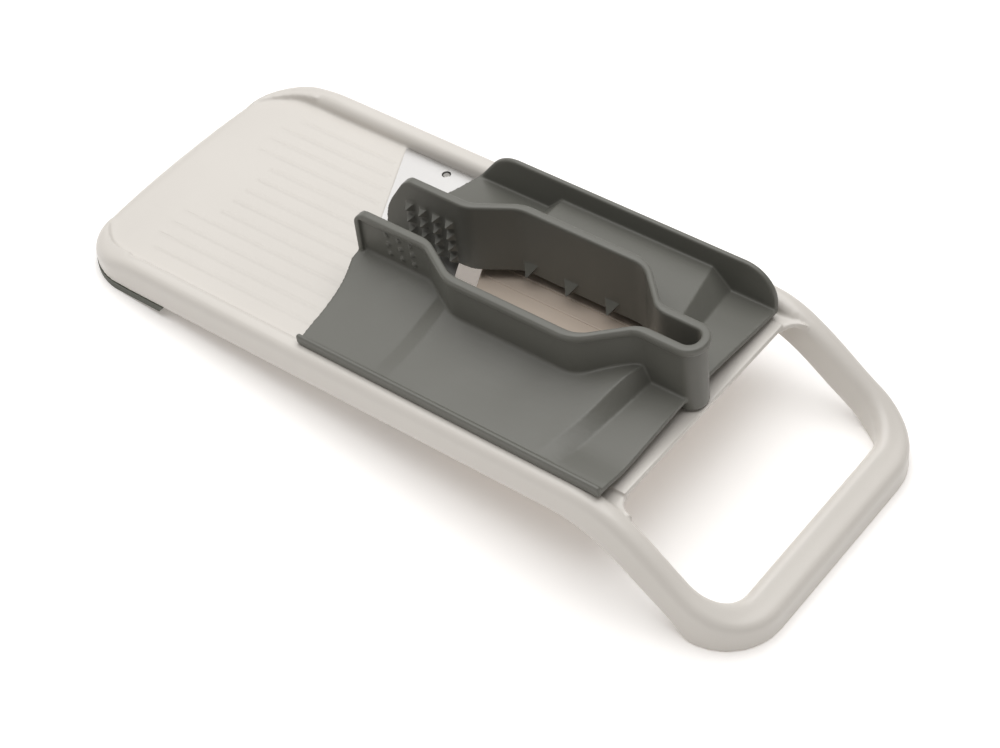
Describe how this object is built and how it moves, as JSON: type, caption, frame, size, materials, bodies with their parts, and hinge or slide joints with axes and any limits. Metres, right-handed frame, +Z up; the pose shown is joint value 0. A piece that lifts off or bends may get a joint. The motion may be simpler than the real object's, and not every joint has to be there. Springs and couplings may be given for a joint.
{
  "type": "hand-held mandoline slicer",
  "caption": "Hand-held mandoline slicer: skewed blade in a railed deck, hooped handle bent down to the table, rubber toe foot, sliding food grip with a toothed pocket.",
  "frame": {"origin": "on the table, under the middle of the slicer's overall length and width", "axes": "+X from the toe towards the handle, +Y across to the flanged side of the grip, +Z up from the table"},
  "size_m": [0.3292, 0.1306, 0.0734],
  "materials": {
    "frame_plastic": "gloss pinkish-beige moulding",
    "ramp_plastic": "gloss pinkish-beige moulding",
    "blade_steel": "bright fine-brushed stainless steel",
    "pin_steel": "turned steel pin end",
    "foot_rubber": "matt green-grey non-slip rubber",
    "grip_plastic": "satin dark green-grey moulding"
  },
  "bodies": {
    "slicer": {"frame": "frame_plastic", "ramp_plate": "ramp_plastic", "blade": "blade_steel", "blade_pin_far": "pin_steel", "blade_pin_near": "pin_steel", "toe_foot": "foot_rubber"},
    "grip": {"food_grip": "grip_plastic"}
  },
  "joints": [
    {"name": "grip_slide", "type": "slide", "parent": "slicer", "child": "grip", "axis": [0.9933, 0, 0.1155], "range_m": [-0.088, 0.008]}
  ]
}
